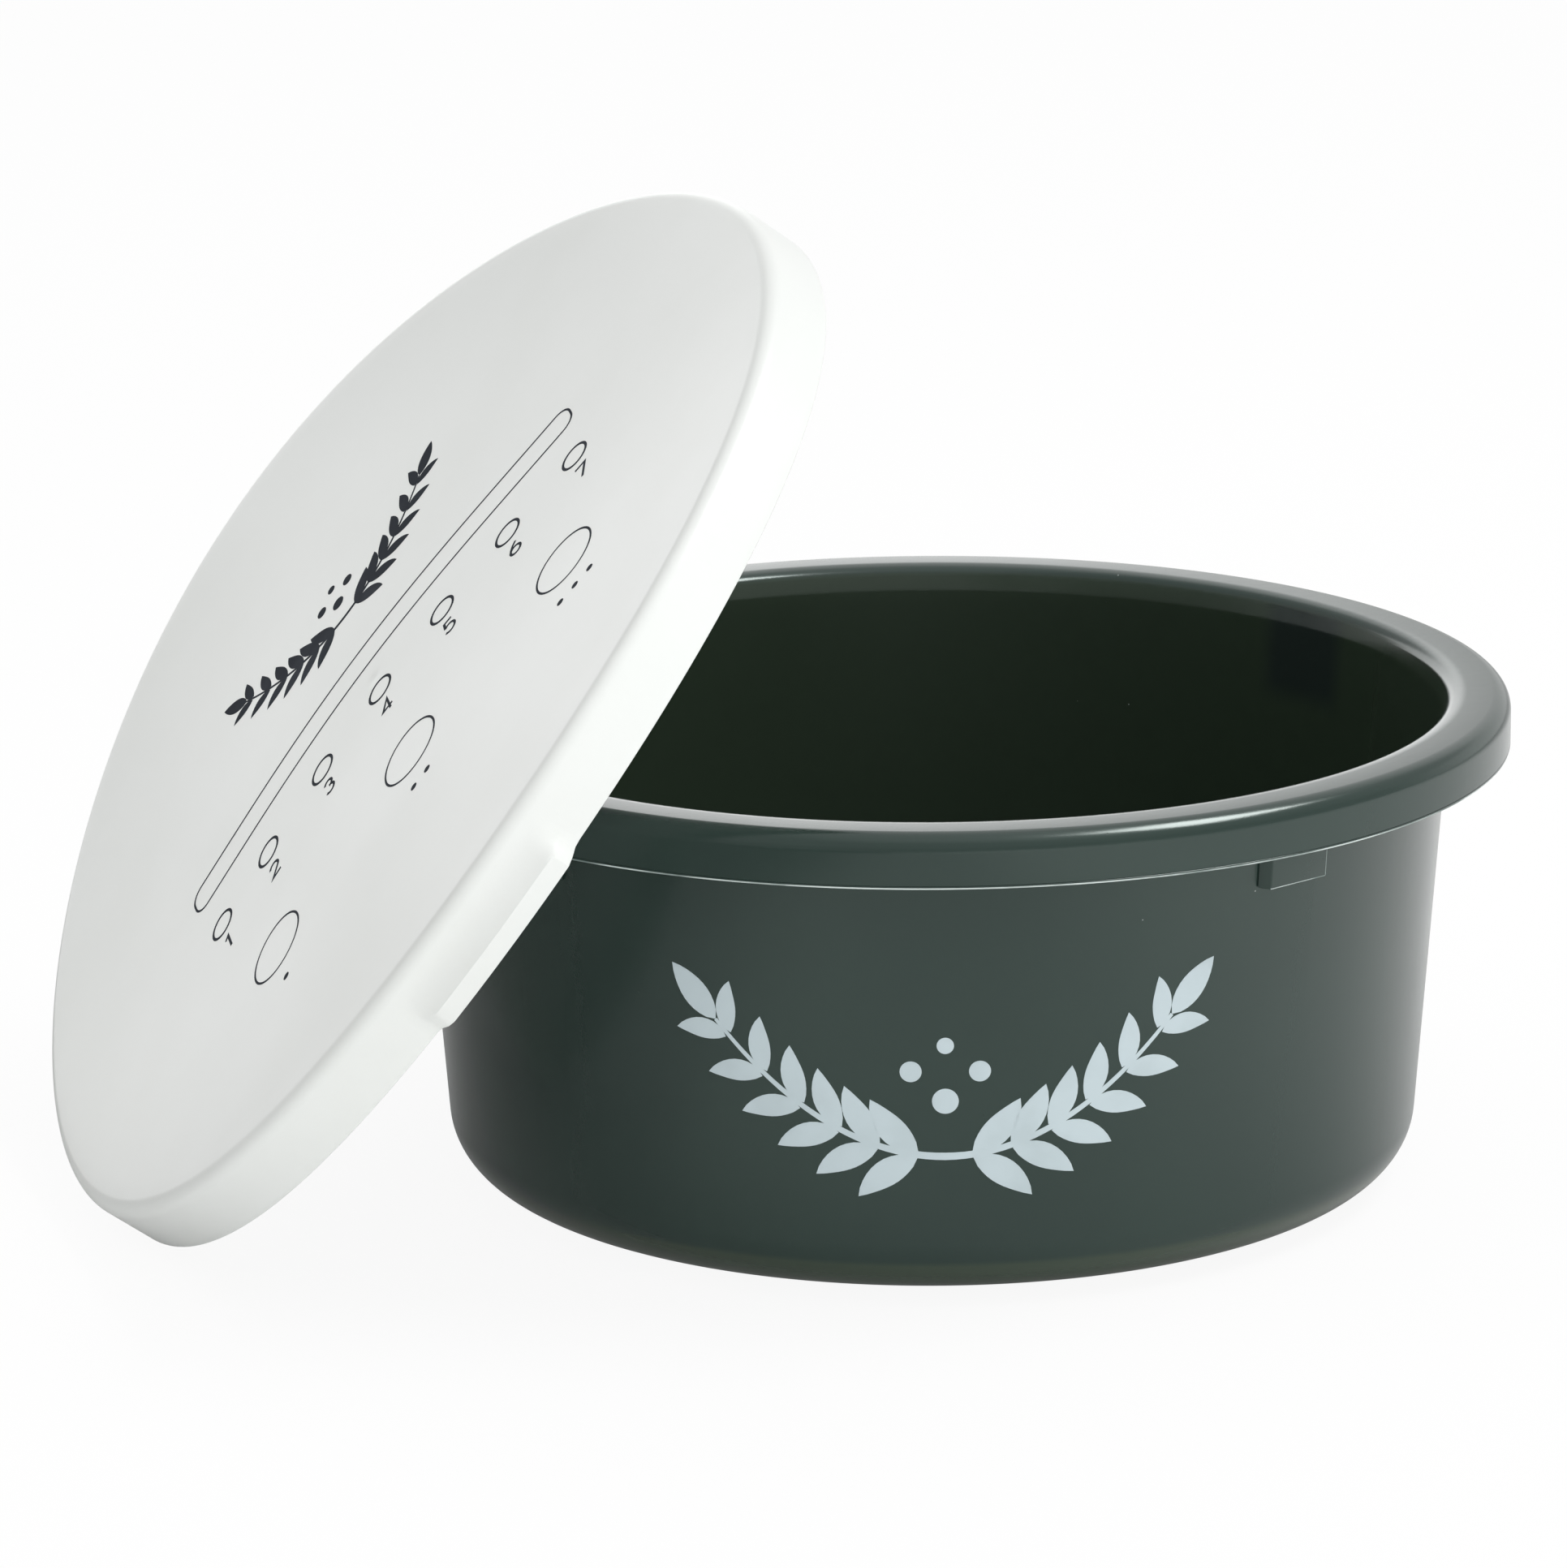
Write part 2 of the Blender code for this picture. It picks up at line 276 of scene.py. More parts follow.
def lug_mesh(size):
    """A block with rounded edges and slanted flanks, lying along X, Y and Z."""
    shape = bmesh.new()
    bmesh.ops.create_cube(shape, size=1.0, matrix=Matrix.Diagonal((*size, 1.0)))
    for corner in shape.verts:
        if corner.co.x < 0.0:
            corner.co.y += math.copysign(LUG_SLANT, corner.co.y)
    bmesh.ops.bevel(shape, geom=shape.edges[:], offset=LUG_EDGE_RADIUS, affect="EDGES",
                    segments=THIN_EDGE_CUTS, profile=0.5)
    shape.normal_update()
    # The lower edge and one side's edge of each block take the second material, a painted highlight
    for face in shape.faces:
        x, y, z = face.normal
        below = -z > EDGE_TURN and x > max(EDGE_TURN, abs(y))
        beside = y > EDGE_TURN and x > FLANK_TURN
        face.material_index = int(below or beside)
    return shape


def lug_block(azimuth):
    """A block that leans with the wall and stands out of it, under the rim."""
    foot, top = BOWL_HEIGHT - LUG_HANG, BOWL_HEIGHT - RIM_WALL - RIM_ROOT_RADIUS
    middle_height = (foot + top) / 2
    middle = Vector((beside_wall(middle_height, (LUG_DEPTH - LUG_ROOT) / 2), 0.0, middle_height))
    place = Matrix.Rotation(azimuth, 4, "Z") @ Matrix.Translation(middle)
    place = place @ Matrix.Rotation(WALL_LEAN, 4, "Y")
    shape = lug_mesh((LUG_DEPTH + LUG_ROOT, LUG_WIDTH, (top - foot) / math.cos(WALL_LEAN)))
    bmesh.ops.transform(shape, matrix=place, verts=shape.verts)
    return add_object("lug_block", to_mesh("lug_block", shape))


def join_blocks(body, blocks):
    """Fuse the blocks into the body's mesh and remove them."""
    for block in blocks:
        union = body.modifiers.new("lug", "BOOLEAN")
        union.operation = "UNION"
        union.solver = "EXACT"
        union.object = block
    depsgraph = bpy.context.evaluated_depsgraph_get()
    body.data = bpy.data.meshes.new_from_object(body.evaluated_get(depsgraph))
    body.modifiers.clear()
    for block in blocks:
        bpy.data.objects.remove(block, do_unlink=True)


def mark_lip_edge(mesh):
    """Give the lip's outer free edge the second material, a painted highlight."""
    lip_foot = BOWL_HEIGHT - LIP_DEPTH
    for face in mesh.polygons:
        x, y, z = face.center
        outside = math.hypot(x, y) > RIM_RADIUS - LIP_EDGE_RADIUS
        face.material_index = int(outside and lip_foot < z < lip_foot + LIP_EDGE_RADIUS)


def build_bowl():
    mesh = turned_mesh("bowl_shell", bowl_profile(), BOWL_STEPS)
    mark_lip_edge(mesh)
    bowl = add_object("bowl_shell", mesh)
    blocks = [lug_block(LUG_FIRST_AZIMUTH + FULL * i / LUG_COUNT) for i in range(LUG_COUNT)]
    # The second finish is a painted highlight on thin edges
    finishes = (green_plastic(), painted_edge_highlight())
    for thing in [bowl] + blocks:
        for finish in finishes:
            thing.data.materials.append(finish)
    join_blocks(bowl, blocks)
    bowl.data.name = "bowl_shell"
    shade_round(bowl.data)
    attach(bowl, "bowl")
    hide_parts("bowl")


def lid_place():
    """The lid's own frame, from its slide's axis and from the middle vertex of its top."""
    normal = Vector(frame["joints"][0]["axis"]).normalized()
    uphill = (Vector((0.0, 0.0, 1.0)) - normal * normal.z).normalized()
    across = normal.cross(uphill)
    turn = Matrix((uphill, across, normal)).transposed()
    points = [turn.transposed() @ v.co for v in frame["nodes"]["lid"].data.vertices]
    middle_x = (min(p.x for p in points) + max(p.x for p in points)) / 2
    middle_y = max(p.y for p in points) - LID_RADIUS
    near = [p for p in points if math.hypot(p.x - middle_x, p.y - middle_y) < LID_EDGE_RADIUS]
    top = max(near, key=lambda p: p.z)
    return Matrix.Translation(turn @ top) @ turn.to_4x4()


def warp_rise(x, y):
    """Height of the warped lid: a saddle, a slight bulge of the plate, and the gate mark."""
    azimuth = math.atan2(y, x) - LID_WARP_AZIMUTH
    share = (x * x + y * y) / LID_RADIUS ** 2
    across = math.sqrt(share) * math.sin(azimuth)
    along = math.sqrt(share) * math.cos(azimuth)
    bulge = sum(size * across ** (2 * i) for i, size in enumerate(PLATE_BULGE))
    bulge += PLATE_SKEW[0] * across + PLATE_SKEW[1] * along
    saddle = LID_WARP * share * math.cos(2.0 * azimuth)
    gate = GATE_DEPTH * smooth_step(1.0 - math.hypot(x, y) / GATE_RADIUS)
    return saddle + bulge * max(1.0 - share, 0.0) - gate


def tab_push(azimuth, depth):
    """How far the finger tab moves a point of the skirt outwards."""
    from_middle = abs(math.remainder(azimuth - TAB_AZIMUTH, FULL)) * LID_RADIUS
    along = smooth_step((TAB_WIDTH / 2 - from_middle) / TAB_END)
    cove = SKIRT_DEPTH - TAB_LIP - LID_EDGE_RADIUS
    down = min(max((depth - LID_EDGE_RADIUS) / cove, 0.0), 1.0)
    return TAB_REACH * along * down ** 2


def plate_rings():
    rings = [0.0] + [GATE_RADIUS * (i + 1) / GATE_RINGS for i in range(GATE_RINGS)]
    return rings + [(LID_RADIUS - LID_EDGE_RADIUS) * i / PLATE_RINGS for i in range(1, PLATE_RINGS)]


def bead_profile(top):
    """The low bead inside the skirt, from its lower end to its top."""
    middle, points = top - BEAD_HEIGHT / 2, []
    for i in range(BEAD_CUTS + 1):
        share = i / BEAD_CUTS - 0.5
        reach = BEAD_REACH * math.cos(HALF * share)
        points.append((SKIRT_INSIDE - reach, middle + BEAD_HEIGHT * share))
    return points


def lid_profile():
    """Section of the lid, flat: top, edge, skirt, inner bead, underside. Its top is z = 0."""
    outer, inner, edge = LID_RADIUS, SKIRT_INSIDE, SKIRT_EDGE_RADIUS
    shoulder, foot = -LID_EDGE_RADIUS, -SKIRT_DEPTH
    crease, bead_top = foot + TAB_LIP, foot + SKIRT_WALL + BEAD_HEIGHT
    corner = LID_EDGE_RADIUS - LID_PLATE

    points = [(r, 0.0) for r in plate_rings()]
    points += arc((outer + shoulder, shoulder), LID_EDGE_RADIUS, QUARTER, 0.0, LID_EDGE_CUTS)
    points += line_points((outer, shoulder), (outer, crease), SKIRT_CUTS)
    points += [(outer, crease)]
    points += line_points((outer, crease), (outer, foot + edge), TAB_LIP_CUTS)
    points += arc((outer - edge, foot + edge), edge, 0.0, -QUARTER, THIN_EDGE_CUTS)
    points += arc((inner + edge, foot + edge), edge, -QUARTER, -HALF, THIN_EDGE_CUTS)
    points += bead_profile(bead_top)
    points += line_points((inner, bead_top), (inner, shoulder), SKIRT_CUTS)
    points += arc((inner - corner, shoulder), corner, 0.0, QUARTER, LID_INNER_CUTS)
    points += [(r, -LID_PLATE) for r in reversed(plate_rings())]
    return points


def build_lid(place):
    mesh = turned_mesh("lid_shell", lid_profile(), LID_STEPS)
    for vertex in mesh.vertices:
        x, y, z = vertex.co
        radius, azimuth = math.hypot(x, y), math.atan2(y, x)
        if radius > SKIRT_INSIDE - BEAD_REACH - MERGE:
            radius += tab_push(azimuth, -z)
        vertex.co = (radius * math.cos(azimuth), radius * math.sin(azimuth), z + warp_rise(x, y))
    mesh.transform(place)
    mesh.materials.append(white_plastic())
    shade_round(mesh)
    lid = add_object("lid_shell", mesh)
    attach(lid, "lid")
    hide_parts("lid")


# Looks. Colours are linear
GREEN = (0.0185, 0.0350, 0.0290, 1.0)
GREEN_DEEP = (0.0165, 0.0315, 0.0265, 1.0)
# Painted light: the same plastic, drawn lighter and more olive inside to stand in for the light
# inside the bowl
GREEN_INSIDE_PAINTED_LIGHT = (0.0340, 0.0505, 0.0335, 1.0)
GREEN_SHEEN = (0.90, 1.0, 0.965, 1.0)        # tint of the plastic's reflections
GREEN_PAINTED_SHADE = (0.0215, 0.0305, 0.0290, 1.0)  # painted shade inside, where a block backs the wall
# Pale painted highlight on thin edges, in two tones
HIGHLIGHT_GREEN_DIM = (0.17, 0.22, 0.205, 1.0)
HIGHLIGHT_GREEN_BRIGHT = (0.58, 0.65, 0.63, 1.0)
DUST = (0.30, 0.33, 0.32, 1.0)
WHITE = (0.800, 0.820, 0.800, 1.0)
WHITE_SOILED = (0.770, 0.790, 0.765, 1.0)
SPECK = (0.36, 0.36, 0.34, 1.0)
PALE_INK = (0.520, 0.610, 0.640, 1.0)
PALE_INK_THIN = (0.470, 0.555, 0.580, 1.0)
DARK_INK = (0.022, 0.027, 0.036, 1.0)
DARK_INK_THIN = (0.036, 0.042, 0.053, 1.0)

GLOSS = 0.65                  # specular level of the green plastic
SHADE_SOFT = 0.0045           # blur of the patch of painted shade
SHADE_MARGIN = 0.0046         # how far the patch is wider than the block, on each side
SHADE_TURN = math.radians(-2.0)
INSIDE_START, INSIDE_END = BOWL_WALL * 0.35, BOWL_WALL * 0.75   # depth where the inside's painted lighter colour sets in

# Blotches: repeats per metre, detail, the noise's range, and the values that it turns into
GREEN_BLOTCHES = (14.0, 3.0, 0.35, 0.65)
GREEN_ROUGH = (0.16, 0.22)
GREEN_ROUGH_BLOTCHES = (9.0, 4.0, 0.30, 0.70, *GREEN_ROUGH)
HIGHLIGHT_BLOTCHES = (42.0, 4.0, 0.38, 0.58)
HIGHLIGHT_ROUGH = 0.42
WHITE_BLOTCHES = (11.0, 4.0, 0.35, 0.70)
WHITE_ROUGH = (0.29, 0.37)
WHITE_ROUGH_BLOTCHES = (7.0, 4.0, 0.30, 0.70, *WHITE_ROUGH)
INK_BLOTCHES = (60.0, 3.0, 0.42, 0.72)
PALE_INK_FILM = (0.34, 0.50)  # roughness and specular level
DARK_INK_FILM = (0.70, 0.08)

# Dots and scratches: cells per metre, radius, share of the cells, and how they stretch and turn
GREEN_DUST = (75.0, 0.00027, 0.24)
GREEN_SCRATCHES = (60.0, 0.00016, 0.10, (1.0, 1.0, 0.10), (0.5, 0.3, 0.2))
GREEN_PITS = (160.0, 0.00025, 0.10)
WHITE_SPECKS = (70.0, 0.00018, 0.14)
WHITE_SCRATCHES = (60.0, 0.00014, 0.14, (0.10, 1.0, 1.0), (0.3, 0.6, 0.4))
INK_PINHOLES = (900.0, 0.00016, 0.10)
GREEN_SCRATCH_SHARE = 0.34    # how strongly each of these colours the surface
WHITE_SPECK_SHARE = 0.70
WHITE_SCRATCH_SHARE = 0.25
INK_PINHOLE_SHARE = 0.40
DUST_ROUGHNESS = 0.25         # what dust and scratches add to the roughness
PIT_DEPTH = -0.00006
SCRATCH_DEPTH = -0.00002

# Fine relief: repeats per metre, detail, height
GREEN_GRAIN = (2300.0, 1.0, 0.000010)
GREEN_WAVES = (260.0, 2.0, 0.000018)
HIGHLIGHT_GRAIN = (1800.0, 2.0, 0.000020)
WHITE_GRAIN = (2100.0, 1.0, 0.000010)
WHITE_WAVES = (210.0, 2.0, 0.000020)
INK_GRAIN = (1900.0, 2.0, 0.000012)


class Tree:
    """A node tree with short ways to add and join nodes."""

    def __init__(self, tree):
        self.tree = tree

    def add(self, kind, inputs, **settings):
        node = self.tree.nodes.new("ShaderNode" + kind)
        for key, value in settings.items():
            setattr(node, key, value)
        for key, value in inputs.items():
            if isinstance(value, bpy.types.NodeSocket):
                self.tree.links.new(value, node.inputs[key])
            else:
                node.inputs[key].default_value = value
        return node

    def math(self, operation, first, second=0.0, clamp=False):
        inputs = {0: first, 1: second}
        return self.add("Math", inputs, operation=operation, use_clamp=clamp).outputs[0]

    def ramp(self, value, low, high, start=0.0, end=1.0):
        """The value's way from low to high, smoothly, as a way from start to end."""
        inputs = {"Value": value, "From Min": low, "From Max": high, "To Min": start, "To Max": end}
        return self.add("MapRange", inputs, interpolation_type="SMOOTHSTEP").outputs["Result"]


class Finish(Tree):
    """A material: its shader, and patterns that stay in place on the object."""

    def __init__(self, name, rough):
        self.material = bpy.data.materials.new(name)
        self.material.use_nodes = True
        super().__init__(self.material.node_tree)
        self.shader = self.tree.nodes["Principled BSDF"]
        self.shader.inputs["Roughness"].default_value = rough
        self.object_place = self.add("TexCoord", {}).outputs["Object"]

    def noise(self, scale, detail):
        inputs = {"Vector": self.object_place, "Scale": scale, "Detail": detail}
        return self.add("TexNoise", inputs).outputs["Fac"]

    def blotches(self, scale, detail, low, high, start=0.0, end=1.0):
        return self.ramp(self.noise(scale, detail), low, high, start, end)

    def relief(self, scale, detail, height):
        return self.noise(scale, detail), height

    def blend(self, share, first, second, strength=1.0):
        """The second colour over the first, by a share that a strength may weaken."""
        if strength < 1.0:
            share = self.math("MULTIPLY", share, strength)
        return self.add("Mix", {0: share, 6: first, 7: second}, data_type="RGBA").outputs[2]

    def specks(self, scale, size, share, stretch=(1.0, 1.0, 1.0), turn=(0.0, 0.0, 0.0)):
        """Dots, or short lines where stretched: one in each cell that a random draw picks."""
        inputs = {"Vector": self.object_place, "Scale": stretch, "Rotation": turn}
        place = self.add("Mapping", inputs).outputs[0]
        cells = self.add("TexVoronoi", {"Vector": place, "Scale": scale})
        draw = self.add("SeparateColor", {0: cells.outputs["Color"]}).outputs[0]
        picked = self.math("LESS_THAN", draw, share)
        dot = self.ramp(cells.outputs["Distance"], size * scale, size * scale / 2)
        return self.math("MULTIPLY", dot, picked)

    def wear(self, colour, bumps, rough=None):
        """Join a colour, bumps as (height, depth in metres) pairs, and a varying roughness."""
        self.tree.links.new(colour, self.shader.inputs["Base Color"])
        if rough is not None:
            self.tree.links.new(rough, self.shader.inputs["Roughness"])
        normal = {}
        for height, depth in bumps:
            inputs = {"Height": height, "Distance": depth, "Strength": 1.0}
            normal = {"Normal": self.add("Bump", {**inputs, **normal}).outputs[0]}
        self.tree.links.new(normal["Normal"], self.shader.inputs["Normal"])
        return self.material


def inside_share(finish, x, y, z):
    """1 on the bowl's inside, 0 on its outside."""
    square = finish.math("ADD", finish.math("MULTIPLY", x, x), finish.math("MULTIPLY", y, y))
    rise = finish.math("MULTIPLY", z, math.tan(WALL_LEAN))
    depth = finish.math("SUBTRACT", finish.math("ADD", rise, WALL_FOOT_RADIUS),
                        finish.math("SQRT", square))
    return finish.ramp(depth, INSIDE_START, INSIDE_END)


def block_share(finish, x, y, z):
    """Where the painted shade goes: 1 where a block backs the wall, 0 elsewhere, with a soft edge.
    """
    pitch, first = FULL / LUG_COUNT, LUG_FIRST_AZIMUTH + SHADE_TURN
    turn = finish.math("SUBTRACT", finish.math("ARCTAN2", y, x), first)
    turns = finish.math("ADD", finish.math("DIVIDE", turn, pitch), 0.5)
    off = finish.math("SUBTRACT", finish.math("FRACT", turns), 0.5)
    aside = finish.math("MULTIPLY", finish.math("ABSOLUTE", off), pitch * WALL_TOP_RADIUS)
    half, foot = LUG_WIDTH / 2 + SHADE_MARGIN, BOWL_HEIGHT - LUG_HANG
    across = finish.ramp(aside, half + SHADE_SOFT, half - SHADE_SOFT)
    up = finish.ramp(z, foot - SHADE_SOFT, foot + SHADE_SOFT)
    return finish.math("MULTIPLY", across, up)


def green_plastic():
    """Dark green moulded plastic: satin, with a fine grain, dust, pits and rubbed streaks, and
    painted light and shade inside.
    """
    finish = Finish("green_plastic", sum(GREEN_ROUGH) / 2)
    finish.shader.inputs["Specular IOR Level"].default_value = GLOSS
    finish.shader.inputs["Specular Tint"].default_value = GREEN_SHEEN
    place = finish.add("SeparateXYZ", {0: finish.object_place}).outputs
    inside = inside_share(finish, *place)
    shade = finish.math("MULTIPLY", block_share(finish, *place), inside)
    dust, scratches = finish.specks(*GREEN_DUST), finish.specks(*GREEN_SCRATCHES)

    colour = finish.blend(finish.blotches(*GREEN_BLOTCHES), GREEN, GREEN_DEEP)
    # painted light: the inside drawn lighter than the outside
    colour = finish.blend(inside, colour, GREEN_INSIDE_PAINTED_LIGHT)
    # painted shade inside, where a block backs the wall
    colour = finish.blend(shade, colour, GREEN_PAINTED_SHADE)
    colour = finish.blend(dust, colour, DUST)
    colour = finish.blend(scratches, colour, DUST, GREEN_SCRATCH_SHARE)
    dirt = finish.math("MULTIPLY", finish.math("ADD", dust, scratches), DUST_ROUGHNESS)
    rough = finish.math("ADD", finish.blotches(*GREEN_ROUGH_BLOTCHES), dirt, True)
    bumps = [finish.relief(*GREEN_GRAIN), finish.relief(*GREEN_WAVES),
             (finish.specks(*GREEN_PITS), PIT_DEPTH), (scratches, SCRATCH_DEPTH)]
    return finish.wear(colour, bumps, rough)


def painted_edge_highlight():
    """Pale green painted on thin outer edges as a highlight: the lip's lower edge, and each block's
    lower edge and one side's edge.
    """
    finish = Finish("green_painted_highlight", HIGHLIGHT_ROUGH)
    colour = finish.blend(finish.blotches(*HIGHLIGHT_BLOTCHES), HIGHLIGHT_GREEN_DIM, HIGHLIGHT_GREEN_BRIGHT)
    return finish.wear(colour, [finish.relief(*HIGHLIGHT_GRAIN)])


def white_plastic():
    """White moulded plastic with a soft sheen, a fine grain, small specks and hair scratches."""
    finish = Finish("white_plastic", sum(WHITE_ROUGH) / 2)
    scratches = finish.specks(*WHITE_SCRATCHES)
    colour = finish.blend(finish.blotches(*WHITE_BLOTCHES), WHITE, WHITE_SOILED)
    colour = finish.blend(finish.specks(*WHITE_SPECKS), colour, SPECK, WHITE_SPECK_SHARE)
    colour = finish.blend(scratches, colour, SPECK, WHITE_SCRATCH_SHARE)
    bumps = [finish.relief(*WHITE_GRAIN), finish.relief(*WHITE_WAVES), (scratches, SCRATCH_DEPTH)]
    return finish.wear(colour, bumps, finish.blotches(*WHITE_ROUGH_BLOTCHES))


def ink(name, full, thin, rough, gloss):
    """Screen-printed ink: an even film with fine pinholes and slightly thin places."""
    finish = Finish(name, rough)
    finish.shader.inputs["Specular IOR Level"].default_value = gloss
    colour = finish.blend(finish.blotches(*INK_BLOTCHES), full, thin)
    colour = finish.blend(finish.specks(*INK_PINHOLES), colour, thin, INK_PINHOLE_SHARE)
    return finish.wear(colour, [finish.relief(*INK_GRAIN)])


# Prints, in metres. Each mark is a ribbon: a line with a width at each of its points
INK_TOP = 0.00004             # how far the film stands proud
INK_ROOT = 0.00006            # how far it reaches in, so that it has no open underside
INK_TIP = 0.00004             # width of a ribbon's pointed end
INK_COLUMN = 0.0022           # widest strip of a ribbon
INK_MITRE = 0.35              # keeps the sides of a sharp corner from stretching too far

BOWL_PRINT_AZIMUTH = math.radians(-88.5)
BOWL_PRINT_FOOT = 0.0320
BOWL_PRINT_SCALE = 1.0
LID_PRINT_AZIMUTH = math.radians(-9.0)
LID_PRINT_FOOT = 0.0385
LID_PRINT_SCALE = 0.655

BRANCH_HALF = 0.0600          # half the width of the branch, and the rise of its ends
BRANCH_RISE = 0.0340
BRANCH_FOOT = 0.0100
BRANCH_WIDTH = 0.0020
BRANCH_STEPS = 24             # of each half
BRANCH_TAPER = 0.5
LEAF_COUNT = 6                # pairs of leaves on each half
LEAF_FIRST, LEAF_LAST = 0.10, 0.93
LEAF_LENGTH = 0.0185
LEAF_WIDTH = 0.0072
LEAF_TURN = math.radians(42.0)
LEAF_TAPER = 0.25             # how much shorter the last leaves are
LEAF_DROOP = 0.0012
LEAF_GAP = 0.0004
LEAF_STEPS = 10
LEAF_FULLEST = 0.45           # where along it a leaf is widest
LEAF_BLUNT = 0.8              # power of the sine that rounds its sides
BERRIES = ((0.0, 0.0250, 0.0034), (-0.0088, 0.0330, 0.0028),      # across, up, radius
           (0.0088, 0.0330, 0.0028), (0.0, 0.0400, 0.0022))

RING_PLACES = (-0.0766, -0.0532, -0.0266, 0.0, 0.0268, 0.0536, 0.0804)
RING_ROW = -0.0091
RING_RADIUS = 0.0044
RING_LINE = 0.00092
RING_STEPS = 40
BIG_PLACES = (-0.0620, 0.0008, 0.0645)
BIG_ROW = -0.0565
BIG_RADIUS = 0.0104
BIG_LINE = 0.00072
BIG_STEPS = 64
NUMBER_DROP = 0.0116
NUMBER_HEIGHT = 0.0064
NUMBER_LINE = 0.00092
NUMBER_CUTS = 24
DOT_DROP = 0.0198
DOT_RADIUS = 0.0012
DOT_PITCH = 0.0058
DOT_STEPS = 16
FRAME_MIDDLE = (0.0013, 0.0151)
FRAME_HALF = (0.0842, 0.0054)
FRAME_CORNER = 0.0044
FRAME_CUTS = 8
FRAME_LINE = 0.00074

# Plain numbers in a box one high: each stroke is points, or (centre, radius, start, end) in degrees
NUMBERS = {
    1: [[(-0.16, 0.80), (0.08, 1.0), (0.08, 0.0)]],
    2: [((0.0, 0.71), 0.29, 165, -25), [(0.263, 0.587), (-0.29, 0.0), (0.31, 0.0)]],
    3: [((0.0, 0.755), 0.245, 160, -90), ((0.0, 0.275), 0.275, 90, -155)],
    4: [[(0.12, 0.0), (0.12, 1.0), (-0.33, 0.27), (0.31, 0.27)]],
    5: [[(0.25, 1.0), (-0.20, 1.0), (-0.235, 0.53)], ((-0.01, 0.32), 0.32, 137, -150)],
    6: [((0.0, 0.30), 0.30, 0, 360), [(-0.285, 0.38), (-0.20, 0.60), (-0.05, 0.82), (0.16, 1.0)]],
    7: [[(-0.30, 1.0), (0.30, 1.0), (-0.10, 0.0)]],
}


def smooth_line(points, pitch):
    """The points of a polyline with more between them, each pitch or less apart."""
    line = [points[0]]
    for start, end in zip(points, points[1:]):
        count = max(1, math.ceil(math.dist(start, end) / pitch))
        line += line_points(start, end, count) + [end]
    return line


def ribbon_sides(points, closed):
    """A side direction at each point, longer at corners so that the ribbon keeps its width."""
    sides = []
    for i, (x, y) in enumerate(points):
        before = points[i - 1] if i or closed else None
        after = points[(i + 1) % len(points)] if i < len(points) - 1 or closed else None
        steps = []
        for start, end in ((before, (x, y)), ((x, y), after)):
            if start and end:
                length = math.dist(start, end)
                steps.append(((start[1] - end[1]) / length, (end[0] - start[0]) / length))
        side = Vector(steps[0]) + Vector(steps[-1])
        side.normalize()
        side /= max(side.dot(Vector(steps[0])), INK_MITRE)
        sides.append(side)
    return sides


def ribbon_row(shape, place, point, side, width, columns):
    """The vertices across a ribbon at one of its points: over its top, then back below it."""
    cells = [width * (j / columns - 0.5) for j in range(columns + 1)]
    row = []
    for lift, order in ((INK_TOP, cells), (-INK_ROOT, cells[::-1])):
        for cell in order:
            corner = place(point[0] + side.x * cell, point[1] + side.y * cell, lift)
            row.append(shape.verts.new(corner))
    return row


def add_ribbon(shape, place, points, widths, closed=False):
    """A thin solid along the points; place turns (across, up, lift) into a point in space."""
    columns = max(1, math.ceil(max(widths) / INK_COLUMN))
    sides = ribbon_sides(points, closed)
    rows = [ribbon_row(shape, place, point, side, width, columns)
            for point, side, width in zip(points, sides, widths)]
    size = len(rows[0])
    for lower, upper in zip(rows, rows[1:] + rows[:1] if closed else rows[1:]):
        for j in range(size):
            k = (j + 1) % size
            shape.faces.new((lower[j], upper[j], upper[k], lower[k]))
    if not closed:
        for row in (rows[0], rows[-1]):
            for j in range(columns):
                shape.faces.new((row[j], row[j + 1], row[size - 2 - j], row[size - 1 - j]))


def add_leaf(shape, place, start, end, width, droop=0.0):
    """A pointed leaf from start to end, bent sideways by droop."""
    along = Vector(end) - Vector(start)
    aside = Vector((along.y, -along.x)).normalized()
    points, widths = [], []
    for i in range(LEAF_STEPS + 1):
        t = i / LEAF_STEPS
        middle = Vector(start) + along * t + aside * (droop * 4.0 * t * (1.0 - t))
        points.append(tuple(middle))
        t_bent = t ** (math.log(0.5) / math.log(LEAF_FULLEST))
        widths.append(max(width * math.sin(HALF * t_bent) ** LEAF_BLUNT, INK_TIP))
    add_ribbon(shape, place, points, widths)


def branch_point(share):
    return Vector((BRANCH_HALF * share, BRANCH_FOOT + BRANCH_RISE * share * share))


def branch_aim(side, share, turn=0.0):
    """Direction in which the branch grows at a share of its half, turned by an angle."""
    angle = math.atan2(2.0 * BRANCH_RISE * share, BRANCH_HALF) + turn
    return Vector((side * math.cos(angle), math.sin(angle)))


def leaf_pairs(side):
    """Each leaf of one half, as (start, end, width, droop) at full scale."""
    for i in range(LEAF_COUNT):
        way = i / (LEAF_COUNT - 1)
        share, size = LEAF_FIRST + (LEAF_LAST - LEAF_FIRST) * way, 1.0 - LEAF_TAPER * way
        for turn in (-1.0, 1.0):
            aim = branch_aim(side, share, turn * LEAF_TURN)
            start = branch_point(side * share) + aim * (BRANCH_WIDTH / 2 + LEAF_GAP)
            end = start + aim * LEAF_LENGTH * size
            yield start, end, LEAF_WIDTH * size, side * turn * LEAF_DROOP
    tip = branch_point(side)
    yield tip, tip + branch_aim(side, 1.0) * LEAF_LENGTH, LEAF_WIDTH, 0.0


